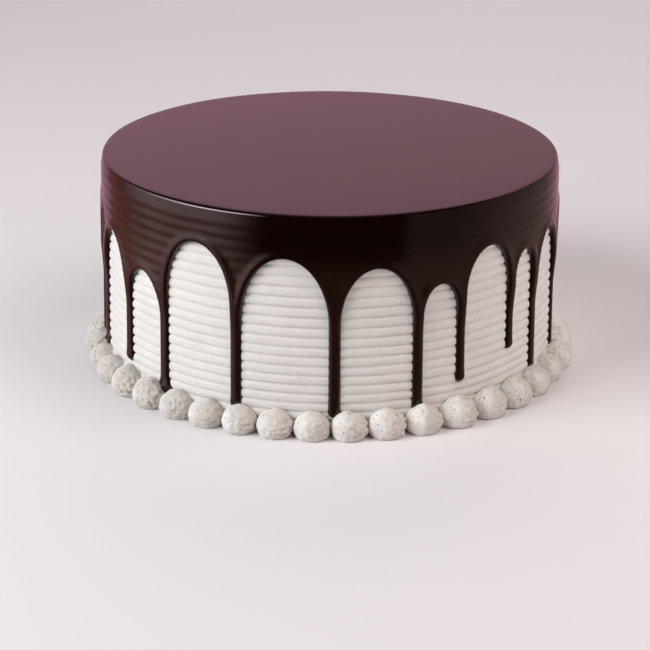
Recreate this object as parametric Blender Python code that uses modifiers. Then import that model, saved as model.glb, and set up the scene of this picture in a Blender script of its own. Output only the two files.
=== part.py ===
"""A round layer cake, uncut: combed cream side, poured chocolate glaze with drips, ring of piped balls.

Metres, +Z up. The cake stands on z = 0 round the Z axis, and its front faces -Y. Angles are in degrees,
measured round the cake from the front towards +X.
"""
import math
import random

import bmesh
import bpy
from mathutils import Vector
from mathutils.geometry import delaunay_2d_cdt

# Whole cake
CAKE_HEIGHT = 0.1040            # floor to the glaze's flat top
CREAM_RADIUS_TOP = 0.1104       # crests of the combed ribs, at the top
CREAM_RADIUS_BASE = 0.1128      # the side flares a little towards the base
GAP = 0.00035                   # clear space between pieces that touch

# Combed cream
RIB_LOWEST = 0.0021             # height of the lowest groove
RIB_PITCH = 0.0042              # height of the lowest rib
RIB_GROWTH = 0.0000225          # each rib is twice this much taller than the one below it
RIB_DEPTH = 0.0010
RIB_COUNT = 20
RIM_ROUND = 0.0006              # rounded top edge of the cream
RIM_STEPS = 3
CAKE_STEPS = 48

# Chocolate glaze
GLAZE_THICKNESS = 0.0017
EDGE_FULLNESS = 0.55            # the glaze thins to this share of its thickness at its edge
DRIP_FULLNESS = 0.75            # and to this share down the middle of a drip
TIP_SWELL = 1.15                # a drip's round tip is this much wider than the drip
ARCH_SLENDERNESS = 1.6          # rise of an arch over its half width
ARCH_STEPS = 8
TIP_STEPS = 4
RING_POINTS = 64
SPINE_SPACING = 0.015           # distance between points down the middle of a drip
BAND_ROWS = (0.0960, 0.0890)    # heights of the rows of points in the closed band

# Drips at the front: angle, width, height of the tip, height of the arch that follows
FRONT_DRIPS = (
    (-82.5, 0.0042, 0.0190, 0.0790),
    (-75.3, 0.0050, 0.0140, 0.0750),
    (-57.6, 0.0055, 0.0140, 0.0645),
    (-42.9, 0.0057, 0.0140, 0.0858),
    (-22.1, 0.0055, 0.0140, 0.0834),
    (1.4, 0.0054, 0.0140, 0.0791),
    (21.2, 0.0052, 0.0140, 0.0687),
    (32.6, 0.0049, 0.0191, 0.0821),
    (49.0, 0.0050, 0.0273, 0.0741),
    (59.8, 0.0056, 0.0140, 0.0774),
    (76.0, 0.0050, 0.0140, 0.0800),
    (95.0, 0.0049, 0.0210, 0.0770),
)
# Drips at the back, which follow the same habit
BACK_DRIPS = 12
BACK_SEED = 7
BACK_ANGLE_JITTER = 2.2
BACK_WIDTH = (0.0048, 0.0057)
BACK_TIP = (0.0140, 0.0300)
BACK_ARCH = (0.0660, 0.0850)

# Piped balls
BALL_COUNT = 41
BALL_RING_RADIUS = 0.1154
BALL_FIRST_ANGLE = 4.8
BALL_HEIGHT = 0.0124
BALL_DEPTH = 0.92               # size away from the cake, over the width along the ring
BALL_SEED = 82
BALL_SIZE_JITTER = 0.05
BALL_STEPS = 12
BALL_OUTLINE = ((1.0, 0.0), (0.94, 0.46), (0.72, 0.83), (0.36, 1.0), (0.0, 0.80), (0.0, 0.0))   # up, across

CUTTER_STEPS = 96
CUTTER_HEIGHT = 0.030

CREAM_COLOUR = (0.76, 0.71, 0.67, 1.0)
GLAZE_COLOUR = (0.022, 0.009, 0.006, 1.0)
BALL_COLOUR = (0.70, 0.65, 0.60, 1.0)

CREAM_TOP = CAKE_HEIGHT - GLAZE_THICKNESS - GAP


def clear_scene():
    for thing in list(bpy.data.objects):
        bpy.data.objects.remove(thing, do_unlink=True)


def collection(name):
    group = bpy.data.collections.new(name)
    bpy.context.scene.collection.children.link(group)
    return group


def material(name, colour, roughness):
    finish = bpy.data.materials.new(name)
    finish.use_nodes = True
    shader = finish.node_tree.nodes["Principled BSDF"]
    shader.inputs["Base Color"].default_value = colour
    shader.inputs["Roughness"].default_value = roughness
    shader.inputs["Metallic"].default_value = 0.0
    finish.diffuse_color = colour
    return finish


def add_object(name, mesh, group, finish):
    thing = bpy.data.objects.new(name, mesh)
    mesh.materials.append(finish)
    group.objects.link(thing)
    return thing


def cream_radius(height):
    """Radius of the rib crests at a height."""
    share = height / CREAM_TOP
    return CREAM_RADIUS_BASE + (CREAM_RADIUS_TOP - CREAM_RADIUS_BASE) * share


def around(radius, angle, height):
    """A point at an angle round the cake, from the front towards +X."""
    turn = math.radians(angle)
    return Vector((radius * math.sin(turn), -radius * math.cos(turn), height))


def turned(name, profile, steps, group, finish):
    """A body turned from a profile of (radius, height) points that runs from its top to its bottom."""
    mesh = bpy.data.meshes.new(name)
    points = [(radius, 0.0, height) for radius, height in profile]
    mesh.from_pydata(points, [(i, i + 1) for i in range(len(points) - 1)], [])
    thing = add_object(name, mesh, group, finish)
    screw = thing.modifiers.new("turn", "SCREW")
    screw.steps = steps
    screw.render_steps = steps
    screw.use_merge_vertices = True
    screw.merge_threshold = 0.00001
    return thing


def groove_height(number):
    """Height of a groove, counted from the lowest."""
    return RIB_LOWEST + RIB_PITCH * number + RIB_GROWTH * number ** 2


def cream_profile():
    profile = [(0.0, CREAM_TOP)]
    for step in range(RIM_STEPS + 1):
        turn = 0.5 * math.pi * step / RIM_STEPS
        height = CREAM_TOP - RIM_ROUND * (1.0 - math.cos(turn))
        profile.append((cream_radius(height) - RIM_ROUND * (1.0 - math.sin(turn)), height))
    for rib in reversed(range(RIB_COUNT)):
        low, groove = groove_height(rib), groove_height(rib + 1)
        profile.append((cream_radius(groove) - RIB_DEPTH, groove))
        for share in (0.28, 0.72):
            crest = groove + share * (low - groove)
            profile.append((cream_radius(crest), crest))
    profile.append((cream_radius(RIB_LOWEST) - RIB_DEPTH, RIB_LOWEST))
    profile.append((CREAM_RADIUS_BASE - RIB_DEPTH, 0.0))
    profile.append((0.0, 0.0))
    return profile


def all_drips():
    """Every drip round the cake, in order: angle, width, tip height, height of the next arch."""
    rng = random.Random(BACK_SEED)
    start = FRONT_DRIPS[-1][0]
    spacing = (360.0 + FRONT_DRIPS[0][0] - start) / (BACK_DRIPS + 1)
    back = []
    for i in range(BACK_DRIPS):
        angle = start + spacing * (i + 1) + rng.uniform(-BACK_ANGLE_JITTER, BACK_ANGLE_JITTER)
        back.append((angle, rng.uniform(*BACK_WIDTH), rng.uniform(*BACK_TIP), rng.uniform(*BACK_ARCH)))
    return list(FRONT_DRIPS) + back


RIM_INNER = RIM_ROUND + GAP
FLAT_RADIUS = CREAM_RADIUS_TOP - RIM_ROUND
SIDE_START = FLAT_RADIUS + 0.5 * math.pi * RIM_INNER


def reach_of(height):
    """Distance along the glaze, from the middle of the top to a height on the side."""
    return SIDE_START + CREAM_TOP + GAP - RIM_INNER - height


def folded(angle, reach):
    """The point on the glaze's inner face at a distance from the middle of the top."""
    top = CREAM_TOP + GAP
    if reach <= FLAT_RADIUS:
        return around(reach, angle, top)
    if reach <= SIDE_START:
        turn = (reach - FLAT_RADIUS) / RIM_INNER
        radius = FLAT_RADIUS + RIM_INNER * math.sin(turn)
        return around(radius, angle, top - RIM_INNER * (1.0 - math.cos(turn)))
    height = top - RIM_INNER - (reach - SIDE_START)
    return around(cream_radius(height) + GAP, angle, height)


def as_degrees(width):
    return math.degrees(width / CREAM_RADIUS_TOP)


def glaze_outline(drips):
    """The glaze's lower edge, once round the cake, as (angle, height)."""
    edge = []
    for i, (angle, width, tip, arch) in enumerate(drips):
        swell = 0.5 * width * TIP_SWELL
        for step in range(TIP_STEPS + 1):
            turn = math.pi * step / TIP_STEPS
            edge.append((angle - as_degrees(swell) * math.cos(turn), tip + swell * (1.0 - math.sin(turn))))
        following = drips[(i + 1) % len(drips)]
        wrap = 360.0 if i + 1 == len(drips) else 0.0
        left = angle + 0.5 * as_degrees(width)
        right = following[0] + wrap - 0.5 * as_degrees(following[1])
        half = 0.5 * (right - left)
        rise = ARCH_SLENDERNESS * math.radians(half) * CREAM_RADIUS_TOP
        for step in range(ARCH_STEPS + 1):
            turn = math.pi * step / ARCH_STEPS
            edge.append((left + half * (1.0 - math.cos(turn)), arch - rise * (1.0 - math.sin(turn))))
    return edge


def glaze_inside(drips):
    """Points inside the glaze's edge: rows round the closed band, and a line down each drip."""
    band = []
    spines = []
    for row in BAND_ROWS:
        band += [(360.0 * (i + 0.5) / RING_POINTS, reach_of(row)) for i in range(RING_POINTS)]
    for angle, width, tip, _ in drips:
        height = BAND_ROWS[-1] - SPINE_SPACING
        while height > tip + width:
            spines.append((angle, reach_of(height)))
            height -= SPINE_SPACING
    return band, spines


def flat_point(angle, reach):
    return around(reach, angle, 0.0).to_2d()


def glaze_sheet():
    """The glaze laid out flat round the middle of the top, split into triangles, then folded down."""
    drips = all_drips()
    edge = [(angle, reach_of(height)) for angle, height in glaze_outline(drips)]
    rings = []
    for step in range(RIM_STEPS + 1):
        reach = FLAT_RADIUS + (SIDE_START - FLAT_RADIUS) * step / RIM_STEPS
        rings.append([(360.0 * i / RING_POINTS, reach) for i in range(RING_POINTS)])
    band, spines = glaze_inside(drips)
    polar = edge + [point for ring in rings for point in ring] + band + spines
    loops = []
    for ring in range(len(rings)):
        first = len(edge) + ring * RING_POINTS
        loops += [(first + i, first + (i + 1) % RING_POINTS) for i in range(RING_POINTS)]
    flat = [flat_point(*point) for point in polar]
    _, _, triangles, came_from, _, _ = delaunay_2d_cdt(flat, loops, [list(range(len(edge)))], 1, 1e-6)
    fullness = [EDGE_FULLNESS] * len(edge) + [1.0] * (len(polar) - len(edge) - len(spines))
    fullness += [DRIP_FULLNESS] * len(spines)
    bm = bmesh.new()
    weights = bm.verts.layers.deform.verify()
    for sources in came_from:
        vert = bm.verts.new(folded(*polar[sources[0]]))
        vert[weights][0] = fullness[sources[0]]
    bm.verts.ensure_lookup_table()
    for triangle in triangles:
        bm.faces.new([bm.verts[i] for i in triangle])
    return bm


def glaze(group, finish):
    mesh = bpy.data.meshes.new("chocolate_glaze")
    bm = glaze_sheet()
    bm.to_mesh(mesh)
    bm.free()
    thing = add_object("chocolate_glaze", mesh, group, finish)
    thing.vertex_groups.new(name="fullness")
    solidify = thing.modifiers.new("thickness", "SOLIDIFY")
    solidify.thickness = GLAZE_THICKNESS
    solidify.offset = 1.0
    solidify.vertex_group = "fullness"
    return thing


def clearance_cutter(group, finish):
    """The foot of the cake with its clear space, which every ball is cut back to."""
    bm = bmesh.new()
    radius = (CREAM_RADIUS_BASE + GAP) / math.cos(math.pi / CUTTER_STEPS)
    bmesh.ops.create_cone(bm, cap_ends=True, segments=CUTTER_STEPS, radius1=radius, radius2=radius,
                          depth=2.0 * CUTTER_HEIGHT)
    mesh = bpy.data.meshes.new("cake_clearance")
    bm.to_mesh(mesh)
    bm.free()
    cutter = add_object("cake_clearance", mesh, group, finish)
    cutter.hide_render = True
    cutter.display_type = "WIRE"
    return cutter


def ball_profile(radius, height):
    return [(radius * across, height * up) for up, across in BALL_OUTLINE]


def ball_ring():
    """Angle and radius of each ball, so that neighbours stand a gap apart all the way round."""
    rng = random.Random(BALL_SEED)
    sizes = [1.0 + rng.uniform(-BALL_SIZE_JITTER, BALL_SIZE_JITTER) for _ in range(BALL_COUNT)]
    side = 2.0 * BALL_RING_RADIUS * math.sin(math.pi / BALL_COUNT)
    unit = 0.5 * (side - GAP) * BALL_COUNT / sum(sizes)
    radii = [unit * size for size in sizes]
    ring = []
    angle = BALL_FIRST_ANGLE
    for i, radius in enumerate(radii):
        ring.append((angle, radius))
        apart = radius + radii[(i + 1) % BALL_COUNT] + GAP
        angle += 360.0 * apart / (side * BALL_COUNT)
    return ring


def piped_balls(group, finish, cutter):
    mean = 0.5 * (2.0 * BALL_RING_RADIUS * math.sin(math.pi / BALL_COUNT) - GAP)
    for i, (angle, radius) in enumerate(ball_ring()):
        name = f"piped_ball_{i + 1:02d}"
        ball = turned(name, ball_profile(radius, BALL_HEIGHT * radius / mean), BALL_STEPS, group, finish)
        ball.location = around(BALL_RING_RADIUS, angle, 0.0)
        ball.rotation_euler.z = math.radians(angle)
        ball.scale.y = BALL_DEPTH
        cut = ball.modifiers.new("stand_clear", "BOOLEAN")
        cut.operation = "DIFFERENCE"
        cut.object = cutter


def build():
    clear_scene()
    parts = collection("layer_cake")
    cutters = collection("cutters")
    cream = material("combed_cream", CREAM_COLOUR, 0.55)
    chocolate = material("chocolate_glaze", GLAZE_COLOUR, 0.12)
    piped = material("piped_cream", BALL_COLOUR, 0.60)
    turned("cream_cake", cream_profile(), CAKE_STEPS, parts, cream)
    glaze(parts, chocolate)
    piped_balls(parts, piped, clearance_cutter(cutters, piped))


build()
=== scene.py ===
"""Looks of the layer cake: combed cream side, poured chocolate glaze with drips, ring of piped balls.

Metres, +Z up, front facing -Y. Angles are in degrees round the cake, from the front towards +X.
"""
import math
import random

import bpy
from mathutils import Matrix, Vector, kdtree, noise
from mathutils.geometry import delaunay_2d_cdt


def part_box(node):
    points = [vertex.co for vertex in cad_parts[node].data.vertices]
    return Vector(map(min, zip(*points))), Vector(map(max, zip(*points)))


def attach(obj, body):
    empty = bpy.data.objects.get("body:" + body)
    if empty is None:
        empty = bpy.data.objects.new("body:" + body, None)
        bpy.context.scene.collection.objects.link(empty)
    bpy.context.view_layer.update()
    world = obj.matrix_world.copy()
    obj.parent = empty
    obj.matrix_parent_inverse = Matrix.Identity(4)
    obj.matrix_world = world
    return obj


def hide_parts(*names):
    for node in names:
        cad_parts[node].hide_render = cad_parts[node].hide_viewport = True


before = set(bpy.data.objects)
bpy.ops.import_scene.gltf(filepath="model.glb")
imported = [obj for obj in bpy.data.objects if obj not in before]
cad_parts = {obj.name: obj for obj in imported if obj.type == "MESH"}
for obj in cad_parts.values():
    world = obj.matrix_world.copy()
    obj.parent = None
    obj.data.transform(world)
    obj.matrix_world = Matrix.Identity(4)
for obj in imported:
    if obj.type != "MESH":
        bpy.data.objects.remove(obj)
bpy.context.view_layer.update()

# From the frame
CREAM_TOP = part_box("cream_cake")[1][2]
GLAZE_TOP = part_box("chocolate_glaze")[1][2]

# The cake's own sizes, as in its solids
CREAM_RADIUS_TOP = 0.1104
CREAM_RADIUS_BASE = 0.1128
GAP = 0.00035
RIB_LOWEST = 0.0021
RIB_PITCH = 0.0042
RIB_GROWTH = 0.0000225
RIB_DEPTH = 0.0010
RIB_COUNT = 20
RIM_ROUND = 0.0006
BALL_COUNT = 41
BALL_RING_RADIUS = 0.1154
BALL_FIRST_ANGLE = 4.8
BALL_HEIGHT = 0.0124
BALL_DEPTH = 0.92
BALL_SEED = 82
BALL_SIZE_JITTER = 0.05

# Drips at the front: angle, width, height of the tip, swell of the tip, height of the arch that follows.
# A tip below the balls' tops ends behind a ball or in the cleft between two.
FRONT_DRIPS = (
    (-82.5, 0.0042, 0.0125, 1.15, 0.0790),
    (-75.3, 0.0050, 0.0095, 1.55, 0.0750),
    (-57.6, 0.0055, 0.0146, 1.15, 0.0645),
    (-42.9, 0.0057, 0.0060, 1.45, 0.0858),
    (-22.1, 0.0055, 0.0088, 1.06, 0.0834),
    (1.4, 0.0054, 0.0080, 1.08, 0.0791),
    (21.2, 0.0052, 0.0092, 1.08, 0.0687),
    (32.6, 0.0049, 0.0191, 1.12, 0.0821),
    (49.0, 0.0050, 0.0273, 1.10, 0.0741),
    (59.8, 0.0056, 0.0060, 1.15, 0.0774),
    (76.0, 0.0050, 0.0095, 1.15, 0.0800),
    (95.0, 0.0049, 0.0210, 1.20, 0.0770),
)
BACK_DRIPS = 12
BACK_SEED = 7
BACK_ANGLE_JITTER = 2.2
BACK_WIDTH = (0.0048, 0.0057)
BACK_TIP = (0.0140, 0.0300)
BACK_ARCH = (0.0660, 0.0850)
BACK_SWELL = (1.10, 1.35)
ARCH_SLENDERNESS = 1.6
EDGE_SPREAD = 0.0002            # the sunk edge lies this far outside the edge that shows

# Camera
CAMERA_DISTANCE = 0.900         # from the cake's axis, level
CAMERA_HEIGHT = 0.3601
CAMERA_PITCH = 21.27
CAMERA_YAW = 0.1235
CAMERA_ROLL = 0.3645
CAMERA_LENS = 104.84
CAMERA_SENSOR = 36.0


def around(radius, angle, height):
    """A point at an angle round the cake, from the front towards +X."""
    turn = math.radians(angle)
    return Vector((radius * math.sin(turn), -radius * math.cos(turn), height))


def smooth(value, low, high):
    """0 below low, 1 above high, and a soft step between."""
    share = min(1.0, max(0.0, (value - low) / (high - low)))
    return share * share * (3.0 - 2.0 * share)


def blend(first, second, share):
    return first + (second - first) * share


def mesh_piece(name, points, faces, finish, nodes):
    """A smooth mesh piece that stands for CAD nodes and rides on the cake."""
    mesh = bpy.data.meshes.new(name)
    mesh.from_pydata(points, [], faces)
    mesh.materials.append(finish)
    mesh.shade_smooth()
    piece = bpy.data.objects.new(name, mesh)
    bpy.context.scene.collection.objects.link(piece)
    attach(piece, "root")
    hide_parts(*nodes)
    return piece


# Materials

COMBED_LIGHT = (0.785, 0.765, 0.74)
COMBED_SHADE = (0.75, 0.73, 0.705)
COMBED_CLOUDS = 0.010
PIPED_LIGHT = (0.83, 0.815, 0.795)
PIPED_SHADE = (0.74, 0.71, 0.67)
# Torn sides of the balls: a darker colour that is partly crumbs and partly painted shade on each ball's
# onward side
PIPED_TORN_AND_SHADE = (0.60, 0.55, 0.50)
PIPED_CLOUDS = 0.0040
CLOUD_CONTRAST = (0.38, 0.66)
TORN_SHADE_FACING = (-0.55, 0.20)     # a side takes the torn colour, partly crumbs and partly painted shade, as it faces onward round the ring by this much
TORN_SHADE_STRENGTH = 0.75
SPECK_BROWN = (0.20, 0.135, 0.09)
SPECK_DARK = (0.030, 0.020, 0.015)
# Biscuit specks: spacing, size, share of the places that hold one, strength, colour
COMBED_SPECKS = (
    (0.0020, 0.00026, 0.30, 0.30, SPECK_BROWN),
    (0.0042, 0.00026, 0.16, 0.55, SPECK_DARK),
)
PIPED_SPECKS = (
    (0.0013, 0.00048, 0.50, 0.45, SPECK_BROWN),
    (0.0026, 0.00045, 0.45, 0.80, SPECK_DARK),
)
CREAM_ROUGHNESS = 0.62
CREAM_SPECULAR = 0.30
CREAM_SCATTER = 0.15
CREAM_SCATTER_REACH = 0.0008
CREAM_SCATTER_COLOURS = (1.0, 0.8, 0.7)
CREAM_GRAIN = 0.0014
CREAM_GRAIN_DEPTH = 0.00022
# Two browns each for the thin glaze on the drips and for the thick glaze, by height
GLAZE_THIN = ((0.0125, 0.0050, 0.0030), (0.0170, 0.0070, 0.0045))
GLAZE_THICK = ((0.0032, 0.0007, 0.0005), (0.0048, 0.0011, 0.0008))
GLAZE_THICK_FROM = (0.074, 0.088)       # heights where thin turns into thick
GLAZE_CLOUDS = 0.030
GLAZE_ROUGHNESS = (0.06, 0.10)
GLAZE_ROUGHNESS_CLOUDS = 0.018
GLAZE_REFRACTION = 1.48


def node(tree, kind, **settings):
    made = tree.nodes.new(kind)
    for key, value in settings.items():
        setattr(made, key, value)
    return made


def blank_material(name, roughness):
    """A material with its Principled shader and the piece's own coordinates."""
    finish = bpy.data.materials.new(name)
    finish.use_nodes = True
    tree = finish.node_tree
    shader = tree.nodes["Principled BSDF"]
    shader.inputs["Roughness"].default_value = roughness
    coordinates = node(tree, "ShaderNodeTexCoord").outputs["Object"]
    return finish, tree, shader, coordinates


def noise_texture(tree, coordinates, size, detail=3.0, output="Fac"):
    """Noise whose lumps are about that many metres across."""
    texture = node(tree, "ShaderNodeTexNoise")
    texture.inputs["Scale"].default_value = 1.0 / size
    texture.inputs["Detail"].default_value = detail
    tree.links.new(coordinates, texture.inputs["Vector"])
    return texture.outputs[output]


def map_range(tree, value, low, high, to_low=0.0, to_high=1.0, kind="LINEAR"):
    mapped = node(tree, "ShaderNodeMapRange", interpolation_type=kind)
    mapped.inputs["From Min"].default_value = low
    mapped.inputs["From Max"].default_value = high
    mapped.inputs["To Min"].default_value = to_low
    mapped.inputs["To Max"].default_value = to_high
    tree.links.new(value, mapped.inputs["Value"])
    return mapped.outputs["Result"]


def mix_colours(tree, share, first, second):
    """A blend of two colours; each is a socket or a plain colour."""
    mix = node(tree, "ShaderNodeMix", data_type="RGBA")
    tree.links.new(share, mix.inputs["Factor"])
    for socket, colour in ((mix.inputs[6], first), (mix.inputs[7], second)):
        if isinstance(colour, bpy.types.NodeSocket):
            tree.links.new(colour, socket)
        else:
            socket.default_value = (*colour, 1.0)
    return mix.outputs[2]


def calculate(tree, operation, first, second):
    """A Math node on sockets or plain numbers."""
    made = node(tree, "ShaderNodeMath", operation=operation)
    for socket, value in zip(made.inputs, (first, second)):
        if isinstance(value, bpy.types.NodeSocket):
            tree.links.new(value, socket)
        else:
            socket.default_value = value
    return made.outputs["Value"]


def shaken(tree, coordinates, size, distance):
    """Coordinates moved a little by noise, so that round specks come out uneven."""
    colour = noise_texture(tree, coordinates, size, 2.0, "Color")
    shift = node(tree, "ShaderNodeVectorMath", operation="SCALE")
    shift.inputs["Scale"].default_value = distance
    tree.links.new(colour, shift.inputs[0])
    moved = node(tree, "ShaderNodeVectorMath", operation="ADD")
    tree.links.new(coordinates, moved.inputs[0])
    tree.links.new(shift.outputs["Vector"], moved.inputs[1])
    return moved.outputs["Vector"]


def specks(tree, coordinates, cell, size, share):
    """Scattered specks: one in each chosen cell, for a share of the cells."""
    cells = node(tree, "ShaderNodeTexVoronoi")
    cells.inputs["Scale"].default_value = 1.0 / cell
    tree.links.new(shaken(tree, coordinates, 0.5 * cell, size), cells.inputs["Vector"])
    near = map_range(tree, cells.outputs["Distance"], size / cell, 0.6 * size / cell)
    split = node(tree, "ShaderNodeSeparateColor")
    tree.links.new(cells.outputs["Color"], split.inputs["Color"])
    chosen = map_range(tree, split.outputs["Red"], 1.0 - share, 1.0 - 0.8 * share)
    return calculate(tree, "MULTIPLY", near, chosen)


def bump(tree, shader, height, depth):
    bumps = node(tree, "ShaderNodeBump")
    bumps.inputs["Strength"].default_value = 1.0
    bumps.inputs["Distance"].default_value = depth
    tree.links.new(height, bumps.inputs["Height"])
    tree.links.new(bumps.outputs["Normal"], shader.inputs["Normal"])


def torn_and_shaded_side(tree, coordinates):
    """Mask for the torn sides' colour, partly crumbs and partly painted shade: 1 on sides that face onward
    round the ring, where the piping was pulled off, and 0 on the others.
    """
    onward = node(tree, "ShaderNodeVectorMath", operation="CROSS_PRODUCT")
    onward.inputs[0].default_value = (0.0, 0.0, 1.0)
    tree.links.new(coordinates, onward.inputs[1])
    unit = node(tree, "ShaderNodeVectorMath", operation="NORMALIZE")
    tree.links.new(onward.outputs["Vector"], unit.inputs[0])
    facing = node(tree, "ShaderNodeVectorMath", operation="DOT_PRODUCT")
    tree.links.new(unit.outputs["Vector"], facing.inputs[0])
    tree.links.new(node(tree, "ShaderNodeNewGeometry").outputs["Normal"], facing.inputs[1])
    return map_range(tree, facing.outputs["Value"], *TORN_SHADE_FACING, kind="SMOOTHSTEP")


def cream_material(name, light, shade, clouds, kinds, torn=None):
    """Whipped cream with its specks; where torn is given, torn sides take that darker colour, which is partly
    crumbs and partly painted shade.
    """
    finish, tree, shader, coordinates = blank_material(name, CREAM_ROUGHNESS)
    patches = noise_texture(tree, coordinates, clouds, 4.0)
    colour = mix_colours(tree, map_range(tree, patches, *CLOUD_CONTRAST), light, shade)
    # painted shade: the torn sides' darker colour is partly crumbs and partly stands in for the shade on that
    # side of each ball
    if torn:
        amount = calculate(tree, "MULTIPLY", torn_and_shaded_side(tree, coordinates), TORN_SHADE_STRENGTH)
        colour = mix_colours(tree, amount, colour, torn)
    for cell, size, share, strength, tint in kinds:
        spot = specks(tree, coordinates, cell, size, share)
        spot = calculate(tree, "MULTIPLY", spot, strength)
        colour = mix_colours(tree, spot, colour, tint)
    tree.links.new(colour, shader.inputs["Base Color"])
    shader.inputs["Subsurface Weight"].default_value = CREAM_SCATTER
    shader.inputs["Subsurface Radius"].default_value = CREAM_SCATTER_COLOURS
    shader.inputs["Subsurface Scale"].default_value = CREAM_SCATTER_REACH
    shader.inputs["Specular IOR Level"].default_value = CREAM_SPECULAR
    bump(tree, shader, noise_texture(tree, coordinates, CREAM_GRAIN, 6.0), CREAM_GRAIN_DEPTH)
    return finish


def glaze_material():
    finish, tree, shader, coordinates = blank_material("chocolate_glaze", GLAZE_ROUGHNESS[1])
    split = node(tree, "ShaderNodeSeparateXYZ")
    tree.links.new(coordinates, split.inputs["Vector"])
    clouds = noise_texture(tree, coordinates, GLAZE_CLOUDS)
    thin = mix_colours(tree, clouds, *GLAZE_THIN)
    thick = mix_colours(tree, clouds, *GLAZE_THICK)
    colour = mix_colours(tree, map_range(tree, split.outputs["Z"], *GLAZE_THICK_FROM), thin, thick)
    tree.links.new(colour, shader.inputs["Base Color"])
    rough = noise_texture(tree, coordinates, GLAZE_ROUGHNESS_CLOUDS)
    tree.links.new(map_range(tree, rough, 0.3, 0.7, *GLAZE_ROUGHNESS), shader.inputs["Roughness"])
    shader.inputs["IOR"].default_value = GLAZE_REFRACTION
    return finish


# Combed cream side

CREAM_COLUMNS = 480
ROWS_PER_RIB = 9
GROOVE_SHARPNESS = 3.2
RIB_DEEPENING = (1.05, 0.40)    # a groove's mean depth and its unevenness, as shares of RIB_DEPTH
RIB_WANDER = 0.00028            # how far a groove strays up and down
CREST_ROUGHNESS = 0.00008
WAVINESS = 0.00030
# The side's unevenness is noise read on a ring: a wider ring and a larger factor on the height make it finer.


def cream_radius(height):
    """Radius of the rib crests at a height, before unevenness."""
    share = height / CREAM_TOP
    return CREAM_RADIUS_BASE + (CREAM_RADIUS_TOP - CREAM_RADIUS_BASE) * share


def groove_height(number):
    """Height of a groove, counted from the lowest; a fraction lies between two grooves."""
    return RIB_LOWEST + RIB_PITCH * number + RIB_GROWTH * number ** 2


def groove_number(height):
    """The inverse of groove_height."""
    root = math.sqrt(RIB_PITCH ** 2 + 4.0 * RIB_GROWTH * max(0.0, height - RIB_LOWEST))
    return (root - RIB_PITCH) / (2.0 * RIB_GROWTH)


def groove_at(height):
    """1 at the bottom of a groove, 0 at the crest of a rib, with narrow grooves between round ribs."""
    return abs(2.0 * (groove_number(height) % 1.0) - 1.0) ** GROOVE_SHARPNESS


def unevenness(angle, height):
    """Gentle waviness of the whole side, in metres."""
    return WAVINESS * noise.noise(around(2.2, angle, 14.0 * height))


def comb_height(angle, height):
    """Height in the comb's own pattern, so that the grooves stray a little up and down."""
    slow = noise.noise(around(3.0, angle, 40.0 * height))
    quick = noise.noise(around(11.0, angle, 160.0 * height))
    return height + RIB_WANDER * (slow + 0.5 * quick)


def combed_radius(angle, height):
    """Radius of the combed side, with its grooves and their unevenness."""
    mean, jitter = RIB_DEEPENING
    depth = RIB_DEPTH * (mean + jitter * noise.noise(around(6.0, angle, 90.0 * height)))
    groove = depth * groove_at(comb_height(angle, height))
    grain = CREST_ROUGHNESS * noise.noise(around(40.0, angle, 700.0 * height))
    return cream_radius(height) + unevenness(angle, height) - groove + grain


def cream_rows():
    """Heights of the mesh rows: the floor, the ribs from the lowest groove up, and the plain top band."""
    rows = [0.0, 0.5 * RIB_LOWEST]
    rows += [groove_height(i / ROWS_PER_RIB) for i in range(RIB_COUNT * ROWS_PER_RIB + 1)]
    rows += [CREAM_TOP - RIM_ROUND]
    return rows


def combed_cream(finish):
    rows = cream_rows()
    points = []
    for height in rows:
        for i in range(CREAM_COLUMNS):
            angle = 360.0 * i / CREAM_COLUMNS
            points.append(around(combed_radius(angle, height), angle, height))
    points += [around(CREAM_RADIUS_TOP - RIM_ROUND, 360.0 * i / CREAM_COLUMNS, CREAM_TOP)
               for i in range(CREAM_COLUMNS)]
    faces = [list(reversed(range(CREAM_COLUMNS)))]
    for row in range(len(rows)):
        for i in range(CREAM_COLUMNS):
            j = (i + 1) % CREAM_COLUMNS
            low, high = row * CREAM_COLUMNS, (row + 1) * CREAM_COLUMNS
            faces.append((low + i, low + j, high + j, high + i))
    faces.append([len(rows) * CREAM_COLUMNS + i for i in range(CREAM_COLUMNS)])
    return mesh_piece("combed_cream", points, faces, finish, ["cream_cake"])


# Poured chocolate glaze: the net of points

RIM_INNER = RIM_ROUND + GAP
FLAT_RADIUS = CREAM_RADIUS_TOP - RIM_ROUND
SIDE_START = FLAT_RADIUS + 0.5 * math.pi * RIM_INNER
BAND_TOP = CREAM_TOP + GAP - RIM_INNER
POINT_SPACING = 0.0011
ARCH_CLOSENESS = 2.2            # points along an arch, over its rise in point spacings
EDGE_ROWS = (0.00010, 0.00028, 0.0006, 0.0011, 0.0017, 0.0023, 0.0029, 0.0036, 0.0044)
CLOSE_ROWS = 3                  # so many rows hold a point for every edge point, the others for every second
EDGE_TRUST = 0.93               # a row's point is left out where another edge is nearer than this share
BAND_CLEARANCE = 0.0006
BAND_START = 0.0004
BAND_END = 0.010
BAND_POINTS = 540
ROWS_PER_STRIPE = 8
COARSE_POINTS = 120
COARSE_SPACING = 0.006
COARSE_START = 0.002
COARSE_RINGS = 2
TIP_STEPS = 14
NECK_STEPS = 4
TIP_LENGTH = 2.4                # from a drip's lowest point to its stem, over half the tip's width
RIM_RINGS = 10
TOP_SPACING = 0.005
COARSE_TOP_SPACING = 4.0 * TOP_SPACING
SAME_POINT = 1e-7


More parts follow.
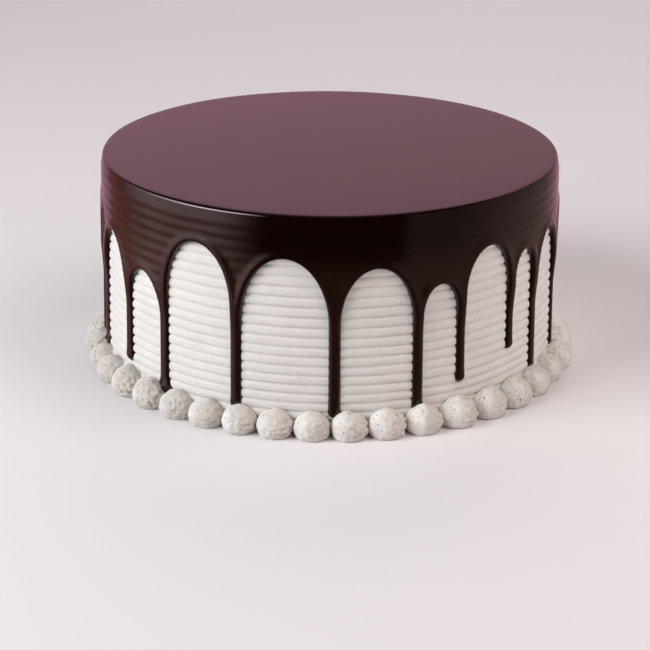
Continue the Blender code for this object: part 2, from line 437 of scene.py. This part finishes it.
def all_drips():
    """Every drip round the cake, in order: angle, width, tip height, tip swell, height of the next arch."""
    rng = random.Random(BACK_SEED)
    swells = random.Random(BACK_SEED + 1)
    start = FRONT_DRIPS[-1][0]
    spacing = (360.0 + FRONT_DRIPS[0][0] - start) / (BACK_DRIPS + 1)
    back = []
    for i in range(BACK_DRIPS):
        angle = start + spacing * (i + 1) + rng.uniform(-BACK_ANGLE_JITTER, BACK_ANGLE_JITTER)
        width, tip, arch = rng.uniform(*BACK_WIDTH), rng.uniform(*BACK_TIP), rng.uniform(*BACK_ARCH)
        back.append((angle, width, tip, swells.uniform(*BACK_SWELL), arch))
    return list(FRONT_DRIPS) + back


def as_degrees(width):
    return math.degrees(width / CREAM_RADIUS_TOP)


def line(start, end):
    """Points from start to end of a straight edge, without its end."""
    across = math.radians(end[0] - start[0]) * CREAM_RADIUS_TOP
    count = max(1, round(math.hypot(across, end[1] - start[1]) / POINT_SPACING))
    return [(start[0] + (end[0] - start[0]) * i / count, start[1] + (end[1] - start[1]) * i / count)
            for i in range(count)]


def neck(angle, half_tip, half_width, tip):
    """The edge between a drip's swollen tip and its stem; negative halves give the left side."""
    found = []
    for step in range(1, NECK_STEPS + 1):
        share = step / (NECK_STEPS + 1)
        half = blend(half_tip, half_width, smooth(share, 0.0, 1.0))
        found.append((angle + as_degrees(half), tip + abs(half_tip) * (1.0 + (TIP_LENGTH - 1.0) * share)))
    return found


def glaze_outline(drips):
    """The glaze's lower edge, once round the cake, as close-set (angle, height)."""
    edge = []
    for i, (angle, width, tip, swell, arch) in enumerate(drips):
        width += 2.0 * EDGE_SPREAD
        tip -= EDGE_SPREAD
        arch -= EDGE_SPREAD
        half_tip = 0.5 * width * swell
        for step in range(TIP_STEPS + 1):
            turn = math.pi * step / TIP_STEPS
            along = angle - as_degrees(half_tip) * math.cos(turn)
            edge.append((along, tip + half_tip * (1.0 - math.sin(turn))))
        following = drips[(i + 1) % len(drips)]
        wrap = 360.0 if i + 1 == len(drips) else 0.0
        left = angle + 0.5 * as_degrees(width)
        right = following[0] + wrap - 0.5 * as_degrees(following[1]) - as_degrees(EDGE_SPREAD)
        half = 0.5 * (right - left)
        rise = ARCH_SLENDERNESS * math.radians(half) * CREAM_RADIUS_TOP
        edge += neck(angle, half_tip, 0.5 * width, tip)
        edge += line((left, tip + TIP_LENGTH * half_tip), (left, arch - rise))
        steps = round(ARCH_CLOSENESS * rise / POINT_SPACING)
        for step in range(steps):
            turn = math.pi * step / steps
            edge.append((left + half * (1.0 - math.cos(turn)), arch - rise * (1.0 - math.sin(turn))))
        half_width = 0.5 * following[1] + EDGE_SPREAD
        half_tip = half_width * following[3]
        low = following[2] - EDGE_SPREAD
        edge += line((right, arch - rise), (right, low + TIP_LENGTH * half_tip))
        edge += reversed(neck(following[0] + wrap, -half_tip, -half_width, low))
    return edge


def reach_of(height):
    """Distance along the glaze, from the middle of the top to a height on the side."""
    return SIDE_START + BAND_TOP - height


def height_of(reach):
    """The inverse of reach_of."""
    return BAND_TOP - (reach - SIDE_START)


class Edge:
    """The glaze's edge, with the distance of any point on the side to it."""

    def __init__(self, drips):
        self.points = glaze_outline(drips)
        count = len(self.points)
        self.normals = []
        self.tree = kdtree.KDTree(count)
        for i, (angle, height) in enumerate(self.points):
            before = self.points[i - 1]
            after = self.points[(i + 1) % count]
            turn = (after[0] - before[0] + 180.0) % 360.0 - 180.0
            along = Vector((math.radians(turn) * CREAM_RADIUS_TOP, after[1] - before[1])).normalized()
            self.normals.append(Vector((-along.y, along.x)))
            self.tree.insert(around(CREAM_RADIUS_TOP, angle, height), i)
        self.tree.balance()

    def offset(self, index, angle, height):
        """The way from an edge point to a point on the side, laid flat."""
        near = self.points[index]
        turn = (angle - near[0] + 180.0) % 360.0 - 180.0
        return Vector((math.radians(turn) * CREAM_RADIUS_TOP, height - near[1]))

    def nearest(self, angle, height):
        """How far inside the edge a point lies (below zero outside it), and the height of the edge there."""
        index = self.tree.find(around(CREAM_RADIUS_TOP, angle, height))[1]
        corner = self.offset(index, angle, height)
        best = corner
        for neighbour in (index - 1, (index + 1) % len(self.points)):
            along = self.offset(neighbour, angle, height) - corner
            share = max(0.0, -corner.dot(along) / along.length_squared)
            best = min(best, corner + share * along, key=lambda way: way.length)
        return math.copysign(best.length, corner.dot(self.normals[index])), height - best.y

    def inset(self, index, distance):
        """The point at that distance inside an edge point."""
        angle, height = self.points[index]
        normal = self.normals[index]
        return angle + as_degrees(normal.x * distance), height + normal.y * distance


def ring_of_points(points, row, reach):
    """Points round the cake; every second row is turned by half a step."""
    return [(360.0 * (i + 0.5 * (row % 2)) / points, reach) for i in range(points)]


def band_grid(edge, heights, points, clearance):
    """Staggered rows of points, wherever they lie far enough inside the edge."""
    found = []
    for row, height in enumerate(heights):
        for angle, reach in ring_of_points(points, row + 1, reach_of(height)):
            if edge.nearest(angle, height)[0] > clearance:
                found.append((angle, reach))
    return found


def rim_and_top(rings, points, spacing):
    """Rings of points over the rim and across the top."""
    found = []
    for ring in range(rings + 1):
        reach = FLAT_RADIUS + (SIDE_START - FLAT_RADIUS) * ring / rings
        found += ring_of_points(points, rings - ring, reach)
    reach = FLAT_RADIUS - 0.5 * spacing
    while reach > spacing:
        count = max(6, round(2.0 * math.pi * reach / spacing))
        found += [(360.0 * i / count, reach) for i in range(count)]
        reach -= spacing
    return found + [(0.0, 0.0)]


def outer_points(edge):
    """Points of the glaze's outer face inside its edge, as (angle, reach)."""
    inside = []
    for row, distance in enumerate(EDGE_ROWS):
        for index in range(row % 2, len(edge.points), 1 if row < CLOSE_ROWS else 2):
            angle, height = edge.inset(index, distance)
            if edge.nearest(angle, height)[0] > EDGE_TRUST * distance:
                inside.append((angle, reach_of(height)))
    heights = []
    stripe = groove_number(BAND_TOP - BAND_START)
    while groove_height(stripe) > BAND_END:
        heights.append(groove_height(stripe))
        stripe -= 1.0 / ROWS_PER_STRIPE
    band = band_grid(edge, heights, BAND_POINTS, EDGE_ROWS[-1] + BAND_CLEARANCE)
    return inside + band + rim_and_top(RIM_RINGS, BAND_POINTS, TOP_SPACING)


def inner_points(edge):
    """The same for the hidden inner face, far fewer."""
    rows = round(BAND_TOP / COARSE_SPACING)
    heights = [BAND_TOP - COARSE_START - i * COARSE_SPACING for i in range(rows)]
    band = band_grid(edge, heights, COARSE_POINTS, 0.5 * COARSE_SPACING)
    return band + rim_and_top(COARSE_RINGS, COARSE_POINTS, COARSE_TOP_SPACING)


# Poured chocolate glaze: its thickness and form

BAND_THICKNESS = 0.0017
DRIP_THICKNESS = 0.0010
BEAD_HEIGHT = 0.00055           # the raised lip that follows each arch
BEAD_PLACE = 0.0022             # its crest, this far in from the edge
BEAD_WIDTH = 0.0020
ARCH_LEVELS = (0.042, 0.062)    # an edge above these heights belongs to an arch, below them to a drip
TIP_BULGE = 0.0016              # how much thicker a swollen tip is
TIP_LEVELS = (0.040, 0.030)     # an edge below these heights may belong to a swollen tip
EDGE_ROUND_DRIP = 0.0022        # the glaze reaches its full thickness this far in from its edge
EDGE_ROUND_ARCH = 0.0012
SWELL_DEPTHS = (0.0029, 0.0046) # it grows thicker this far in from its edge
STRIPE_DEPTH = 0.00019          # how deep the ribs show through the glaze
STRIPE_DROP = 0.0035            # they show fully this far below the rim
STRIPE_DEPTHS = (0.0020, 0.0045)
STRIPE_LEAST = 0.15             # and this much of them is left along the edge
GLAZE_WAVES = 0.00016
EDGE_SINK = RIB_DEPTH + GAP + 0.00015
CORE_SINK = EDGE_SINK + 0.0006
SHOULDER_LEAN = 0.0007          # the side leans in this much at the rim
SHOULDER_DROP = 0.0060          # and stands upright this far below it
RIM_TURN = 0.5 * math.pi - math.atan(2.0 * SHOULDER_LEAN / SHOULDER_DROP)
RIM_BEND = math.radians(42.0)   # the rim bends sharply this far, then more slowly
RIM_SHARP = 0.0010
RIM_SLOW = 0.0025


def rim_curve(turn):
    """How far out and down the rim has come after it has turned that much from level."""
    sharp, slow = min(turn, RIM_BEND), max(turn, RIM_BEND)
    out = RIM_SHARP * math.sin(sharp) + RIM_SLOW * (math.sin(slow) - math.sin(RIM_BEND))
    down = RIM_SHARP * (1.0 - math.cos(sharp)) + RIM_SLOW * (math.cos(RIM_BEND) - math.cos(slow))
    return out, down


RIM_OUT, RIM_DOWN = rim_curve(RIM_TURN)
SIDE_TOP = GLAZE_TOP - RIM_DOWN


def stripes(angle, height):
    """Soft waves where the ribs show through: 1 over a groove, 0 over a crest."""
    phase = groove_number(comb_height(angle, height))
    return 0.5 + 0.5 * math.cos(2.0 * math.pi * phase)


def glaze_lift(edge, angle, height):
    """Height of the glaze's outer face on the side, over its inner face."""
    depth, edge_height = edge.nearest(angle, height)
    depth = max(0.0, depth)
    arch = smooth(edge_height, *ARCH_LEVELS)
    round_up = math.sqrt(1.0 - (1.0 - min(1.0, depth / blend(EDGE_ROUND_DRIP, EDGE_ROUND_ARCH, arch))) ** 2)
    bead = arch * BEAD_HEIGHT * math.exp(-((depth - BEAD_PLACE) / BEAD_WIDTH) ** 2)
    below = SIDE_TOP - height
    fade = smooth(below, 0.0, STRIPE_DROP) * blend(STRIPE_LEAST, 1.0, smooth(depth, *STRIPE_DEPTHS))
    wave = GLAZE_WAVES * noise.noise(around(3.5, angle, 30.0 * height))
    bulge = TIP_BULGE * smooth(depth, *SWELL_DEPTHS) * smooth(-edge_height, -TIP_LEVELS[0], -TIP_LEVELS[1])
    full = blend(DRIP_THICKNESS, BAND_THICKNESS, arch) + bead + wave + bulge
    return (full - STRIPE_DEPTH * fade * stripes(angle, height) + EDGE_SINK) * round_up - EDGE_SINK


def side_radius(angle, height, lift):
    """Radius of the glaze's outer face on the side, leaning in towards the rim."""
    lean = SHOULDER_LEAN * max(0.0, 1.0 - (SIDE_TOP - height) / SHOULDER_DROP) ** 2
    return cream_radius(height) + GAP + unevenness(angle, height) + lift - lean


def outer_point(edge, angle, reach, on_edge):
    if reach > SIDE_START:
        height = height_of(reach)
        lift = -EDGE_SINK if on_edge else glaze_lift(edge, angle, height)
        stretch = (SIDE_TOP - BAND_TOP) * max(0.0, 1.0 - (BAND_TOP - height) / SHOULDER_DROP) ** 2
        return around(side_radius(angle, height + stretch, lift), angle, height + stretch)
    rim = side_radius(angle, SIDE_TOP, BAND_THICKNESS) - RIM_OUT
    if reach > FLAT_RADIUS:
        out, down = rim_curve(RIM_TURN * (reach - FLAT_RADIUS) / (SIDE_START - FLAT_RADIUS))
        return around(rim + out, angle, GLAZE_TOP - down)
    return around(rim * reach / FLAT_RADIUS, angle, GLAZE_TOP)


def inner_point(angle, reach):
    """A point on the hidden inner face, sunk into the cream."""
    if reach > SIDE_START:
        height = height_of(reach)
        return around(cream_radius(height) - CORE_SINK, angle, height)
    return around(min(reach, FLAT_RADIUS) - CORE_SINK * reach / FLAT_RADIUS, angle, CREAM_TOP - CORE_SINK)


def sheet(edge, inside, place):
    """Points and triangles of one face of the glaze, and the order of its edge points."""
    rim = len(edge.points)
    polar = [(angle, reach_of(height)) for angle, height in edge.points] + inside
    flat = [around(reach, angle, 0.0).to_2d() for angle, reach in polar]
    _, _, triangles, came_from, _, _ = delaunay_2d_cdt(flat, [], [list(range(rim))], 1, SAME_POINT)
    chosen = [sources[0] for sources in came_from]
    points = [place(*polar[index], index < rim) for index in chosen]
    order = {index: i for i, index in enumerate(chosen) if index < rim}
    return points, [tuple(triangle) for triangle in triangles], [order[i] for i in range(rim)]


def poured_glaze(finish):
    edge = Edge(all_drips())
    outer, outer_faces, outer_rim = sheet(
        edge, outer_points(edge), lambda angle, reach, on_edge: outer_point(edge, angle, reach, on_edge))
    inner, inner_faces, inner_rim = sheet(
        edge, inner_points(edge), lambda angle, reach, on_edge: inner_point(angle, reach))
    count = len(outer)
    faces = outer_faces + [tuple(count + i for i in reversed(triangle)) for triangle in inner_faces]
    for i in range(len(edge.points)):
        a, b = outer_rim[i - 1], outer_rim[i]
        c, d = count + inner_rim[i - 1], count + inner_rim[i]
        faces.append((b, a, c, d))
    return mesh_piece("poured_glaze", outer + inner, faces, finish, ["chocolate_glaze"])


# Piped balls

BALL_COLUMNS = 92
BALL_ROWS = 46
BALL_BELLY = 0.36               # the widest part, as a share of the height
BALL_FOOT = 0.78                # radius at the floor, as a share of the widest
BALL_FILL = 1.02                # real balls touch, where the solids keep a gap
PRESSED_RADIUS = CREAM_RADIUS_BASE - RIB_DEPTH - 0.0003
FOOT_CURVE = 1.5
PEAK_HEIGHT = 0.07              # the small peak on top, as shares of the height and the radius
PEAK_WIDTH = 0.28
PEAK_ALONG = (-0.2, 0.3)
PEAK_INWARD = (-0.25, 0.15)
TURN_JITTER = 0.2
NOISE_RANGE = 50.0
# Unevenness: how many to the metre, or round the ball, and how high over the ball's size
LUMPS = (150.0, 0.045)
FOLDS = (380.0, 0.030)
CRAGS = (600.0, 0.120)
CREASES = (210.0, 0.060)
CREASE_SHARPNESS = 6.0
SWIRL = (2.0, 17.0, 0.025)
LUMPS_UP = 0.04
FOLDS_UP = 0.02
SMOOTH_SIDE = 0.25              # how much of the crags, creases and swirl is left on the smooth side
TORN_FROM = (-0.2, 0.7)


def ball_ring():
    """Angle and radius of each ball, so that neighbours stand a gap apart all the way round."""
    rng = random.Random(BALL_SEED)
    sizes = [1.0 + rng.uniform(-BALL_SIZE_JITTER, BALL_SIZE_JITTER) for _ in range(BALL_COUNT)]
    side = 2.0 * BALL_RING_RADIUS * math.sin(math.pi / BALL_COUNT)
    unit = 0.5 * (side - GAP) * BALL_COUNT / sum(sizes)
    radii = [unit * size for size in sizes]
    ring = []
    angle = BALL_FIRST_ANGLE
    for i, radius in enumerate(radii):
        ring.append((angle, radius))
        apart = radius + radii[(i + 1) % BALL_COUNT] + GAP
        angle += 360.0 * apart / (side * BALL_COUNT)
    return ring


def ball_form(radius, height, turn, polar, peak):
    """A point on a smooth ball with its small peak, with +X along the ring and +Y towards the cake."""
    up = math.cos(polar)
    across = math.sin(polar)
    if up > 0.0:
        z = height * (BALL_BELLY + (1.0 - BALL_BELLY) * up)
        spread = across
    else:
        z = height * BALL_BELLY * (1.0 - (-up) ** FOOT_CURVE)
        spread = BALL_FOOT + (1.0 - BALL_FOOT) * across
    x = radius * BALL_FILL * spread * math.cos(turn)
    y = radius * BALL_FILL * BALL_DEPTH * spread * math.sin(turn)
    away = math.hypot(x - peak[0] * radius, y - peak[1] * radius) / radius
    if up > 0.0:
        z += PEAK_HEIGHT * height * math.exp(-(away / PEAK_WIDTH) ** 2)
    return Vector((x, y, z))


def ball_point(radius, height, turn, polar, shift, peak):
    """The same with the ball's unevenness: lumps and folds all over, crags and creases where it is torn."""
    place = ball_form(radius, height, turn, polar, peak)
    across = math.sin(polar)
    lumps = noise.noise(place * LUMPS[0] + shift)
    folds = noise.noise(place * FOLDS[0] + shift)
    crags = noise.noise(place * CRAGS[0] + shift)
    crease = max(0.0, 1.0 - CREASE_SHARPNESS * abs(noise.noise(place * CREASES[0] - shift)))
    swirl = math.sin(SWIRL[0] * turn + SWIRL[1] * polar) * across
    torn = blend(SMOOTH_SIDE, 1.0, smooth(math.cos(turn) * across, *TORN_FROM))
    rough = CRAGS[1] * crags + SWIRL[2] * swirl - CREASES[1] * crease
    swell = 1.0 + LUMPS[1] * lumps + FOLDS[1] * folds + torn * rough
    rise = 1.0 + LUMPS_UP * lumps + FOLDS_UP * folds
    return Vector((place.x * swell, place.y * swell, max(0.0, place.z * rise)))


def pressed(point):
    """The point, drawn back to the foot of the cake where a ball is pressed against it."""
    reach = math.hypot(point.x, point.y)
    share = max(1.0, PRESSED_RADIUS / reach)
    return Vector((point.x * share, point.y * share, point.z))


def piped_ball(name, angle, radius, height, rng, finish):
    """One ball as a mesh of rows from its top down to its foot."""
    place = around(BALL_RING_RADIUS, angle, 0.0)
    jitter = Matrix.Rotation(rng.uniform(-TURN_JITTER, TURN_JITTER), 4, "Z")
    turned = Matrix.Rotation(math.radians(angle), 4, "Z") @ jitter
    shift = Vector([rng.uniform(0.0, NOISE_RANGE) for _ in range(3)])
    peak = (rng.uniform(*PEAK_ALONG), rng.uniform(*PEAK_INWARD))

    def on_ball(turn, polar):
        return pressed(place + turned @ ball_point(radius, height, turn, polar, shift, peak))

    points = [on_ball(0.0, 0.0)]
    for row in range(1, BALL_ROWS):
        polar = math.pi * row / BALL_ROWS
        points += [on_ball(2.0 * math.pi * column / BALL_COLUMNS, polar) for column in range(BALL_COLUMNS)]
    points.append(place)
    faces = []
    for column in range(BALL_COLUMNS):
        beside = (column + 1) % BALL_COLUMNS
        faces.append((0, 1 + column, 1 + beside))
        for row in range(BALL_ROWS - 2):
            high, low = 1 + row * BALL_COLUMNS, 1 + (row + 1) * BALL_COLUMNS
            faces.append((high + column, low + column, low + beside, high + beside))
        last = 1 + (BALL_ROWS - 2) * BALL_COLUMNS
        faces.append((last + column, len(points) - 1, last + beside))
    mesh_piece(name.replace("ball", "cream"), points, faces, finish, [name])


def piped_balls(finish):
    ring = ball_ring()
    rng = random.Random(BALL_SEED + 1)
    mean = sum(radius for _, radius in ring) / BALL_COUNT
    for i, (angle, radius) in enumerate(ring):
        piped_ball(f"piped_ball_{i + 1:02d}", angle, radius, BALL_HEIGHT * radius / mean, rng, finish)


# Camera, floor and light

FLOOR_SIDE = 6.0
LIGHT_TARGET = Vector((0.0, 0.0, 0.05))
FLOOR_COLOUR = (0.82, 0.80, 0.81)
FLOOR_ROUGHNESS = 0.7
# Soft lamps: name, place, size, power in watts, colour
LAMPS = (
    ("window_light", (-1.40, -0.25, 0.55), (1.2, 0.9), 3.2, (0.60, 0.88, 1.0)),
    ("side_light", (-1.06, -0.61, 0.85), (0.9, 0.9), 17.0, (1.0, 0.985, 0.98)),
    ("fill_light", (0.85, -0.25, 1.50), (1.2, 1.2), 13.0, (1.0, 0.94, 0.925)),
    ("right_light", (1.30, -0.60, 0.50), (1.2, 0.9), 6.9, (1.0, 0.82, 0.77)),
    ("back_light", (0.20, 1.60, 1.10), (1.2, 1.2), 10.0, (1.0, 0.94, 0.95)),
)
# What the glaze mirrors; directions by azimuth from the camera's side towards +X, and by sine of elevation
BEHIND_LEFT = (0.79, 0.41, 0.50)        # rose light from behind the cake
BEHIND_RIGHT = (0.66, 0.345, 0.41)
BEHIND_LOW = (0.56, 0.28, 0.36)
BEHIND_TURN = (-0.15, 0.15)
BEHIND_RISE = (-0.10, 0.22)
OVERHEAD = (0.34, 0.20, 0.22)
OVERHEAD_RISE = (0.78, 0.95)
DIM_SIDE = (0.030, 0.012, 0.010)        # the dim side, where the camera is
DIM_AZIMUTHS = (-142.0, -132.0, 127.0, 137.0)
PANEL_SOFTNESS = 0.06
# Soft-edged panels: azimuths between which they come and go, sine of the highest elevation, colour
PANELS = (
    ((34.0, 42.0, 130.0, 138.0), 0.60, (0.21, 0.135, 0.125)),
    ((58.0, 98.0, 126.0, 166.0), 0.60, (0.39, 0.245, 0.23)),
    ((-145.0, -137.0, -112.0, -104.0), 0.40, (0.45, 0.16, 0.14)),
)
# The window on the left: a glow by sine of elevation, and its bright upper part
GLOW_AZIMUTHS = (-126.0, -92.0, -60.0, -31.0)
GLOW = (
    (-0.60, (0.30, 0.14, 0.13)),
    (-0.37, (0.75, 0.38, 0.36)),
    (-0.15, (1.55, 0.98, 0.95)),
    (0.06, (1.70, 1.20, 1.20)),
    (0.15, (2.50, 2.10, 2.25)),
    (0.38, (2.50, 2.10, 2.25)),
    (0.46, (0.10, 0.06, 0.06)),
)
WINDOW_AZIMUTHS = (-106.0, -60.0, -48.0, -30.0)
WINDOW_ELEVATIONS = (0.12, 0.20, 0.38, 0.46)
WINDOW_LIGHT = (15.0, 12.6, 13.8)


def add_camera():
    camera = bpy.data.objects.new("camera", bpy.data.cameras.new("camera"))
    bpy.context.scene.collection.objects.link(camera)
    camera.data.lens = CAMERA_LENS
    camera.data.sensor_width = CAMERA_SENSOR
    aim = (Matrix.Rotation(math.radians(CAMERA_YAW), 4, "Z")
           @ Matrix.Rotation(math.radians(90.0 - CAMERA_PITCH), 4, "X")
           @ Matrix.Rotation(math.radians(CAMERA_ROLL), 4, "Z"))
    camera.matrix_world = Matrix.Translation((0.0, -CAMERA_DISTANCE, CAMERA_HEIGHT)) @ aim
    bpy.context.scene.camera = camera


def add_floor():
    """A plain floor, that the glaze doesn't mirror."""
    mesh = bpy.data.meshes.new("floor")
    side = FLOOR_SIDE
    corners = [(-side, -side, 0.0), (side, -side, 0.0), (side, side, 0.0), (-side, side, 0.0)]
    mesh.from_pydata(corners, [], [(0, 1, 2, 3)])
    finish, _, shader, _ = blank_material("floor", FLOOR_ROUGHNESS)
    shader.inputs["Base Color"].default_value = (*FLOOR_COLOUR, 1.0)
    mesh.materials.append(finish)
    floor = bpy.data.objects.new("floor", mesh)
    bpy.context.scene.collection.objects.link(floor)
    floor.visible_glossy = False


def add_area_light(name, place, size, power, colour):
    """A broad soft light aimed at the cake, that the glaze doesn't mirror."""
    light = bpy.data.lights.new(name, "AREA")
    light.shape = "RECTANGLE"
    light.size, light.size_y = size
    light.energy = power
    light.color = colour
    lamp = bpy.data.objects.new(name, light)
    lamp.location = place
    lamp.rotation_euler = (LIGHT_TARGET - lamp.location).to_track_quat("-Z", "Y").to_euler()
    lamp.visible_glossy = False
    bpy.context.scene.collection.objects.link(lamp)


def between(tree, value, start, risen, falling, end):
    """Climbs softly from 0 at start to 1 at risen, stays, and falls from falling to 0 at end."""
    rise = map_range(tree, value, start, risen, kind="SMOOTHSTEP")
    fall = map_range(tree, value, end, falling, kind="SMOOTHSTEP")
    return calculate(tree, "MULTIPLY", rise, fall)


def ramp(tree, value, stops):
    """Colour stops along a value that runs from -1 to 1."""
    made = node(tree, "ShaderNodeValToRGB")
    for place, colour in stops:
        made.color_ramp.elements.new(0.5 + 0.5 * place).color = (*colour, 1.0)
    elements = made.color_ramp.elements
    elements.remove(elements[0])
    elements.remove(elements[len(elements) - 1])
    tree.links.new(map_range(tree, value, -1.0, 1.0), made.inputs["Fac"])
    return made.outputs["Color"]


def add_world():
    """What the glaze mirrors: rose light behind, a window on the left, faint panels, a dim side in front."""
    world = bpy.data.worlds.new("studio")
    bpy.context.scene.world = world
    world.use_nodes = True
    world.cycles_visibility.diffuse = False
    tree = world.node_tree
    direction = node(tree, "ShaderNodeTexCoord").outputs["Generated"]
    split = node(tree, "ShaderNodeSeparateXYZ")
    tree.links.new(direction, split.inputs["Vector"])
    forward = calculate(tree, "MULTIPLY", split.outputs["Y"], -1.0)
    azimuth = calculate(tree, "ARCTAN2", split.outputs["X"], forward)
    azimuth = calculate(tree, "MULTIPLY", azimuth, math.degrees(1.0))
    elevation = split.outputs["Z"]
    behind = mix_colours(tree, map_range(tree, split.outputs["X"], *BEHIND_TURN), BEHIND_LEFT, BEHIND_RIGHT)
    colour = mix_colours(tree, map_range(tree, elevation, *BEHIND_RISE), BEHIND_LOW, behind)
    colour = mix_colours(tree, between(tree, azimuth, *DIM_AZIMUTHS), colour, DIM_SIDE)
    for azimuths, top, shade in PANELS:
        low_enough = map_range(tree, elevation, top + PANEL_SOFTNESS, top - PANEL_SOFTNESS)
        share = calculate(tree, "MULTIPLY", between(tree, azimuth, *azimuths), low_enough)
        colour = mix_colours(tree, share, colour, shade)
    glow = ramp(tree, elevation, GLOW)
    colour = mix_colours(tree, between(tree, azimuth, *GLOW_AZIMUTHS), colour, glow)
    share = calculate(tree, "MULTIPLY", between(tree, azimuth, *WINDOW_AZIMUTHS),
                      between(tree, elevation, *WINDOW_ELEVATIONS))
    colour = mix_colours(tree, share, colour, WINDOW_LIGHT)
    colour = mix_colours(tree, map_range(tree, elevation, *OVERHEAD_RISE), colour, OVERHEAD)
    tree.links.new(colour, tree.nodes["Background"].inputs["Color"])


def add_light():
    add_world()
    for lamp in LAMPS:
        add_area_light(*lamp)
    bpy.context.scene.view_settings.view_transform = "Standard"


add_camera()
add_floor()
add_light()
combed_cream(cream_material("combed_cream", COMBED_LIGHT, COMBED_SHADE, COMBED_CLOUDS, COMBED_SPECKS))
poured_glaze(glaze_material())
piped_balls(cream_material("piped_cream", PIPED_LIGHT, PIPED_SHADE, PIPED_CLOUDS, PIPED_SPECKS, PIPED_TORN_AND_SHADE))
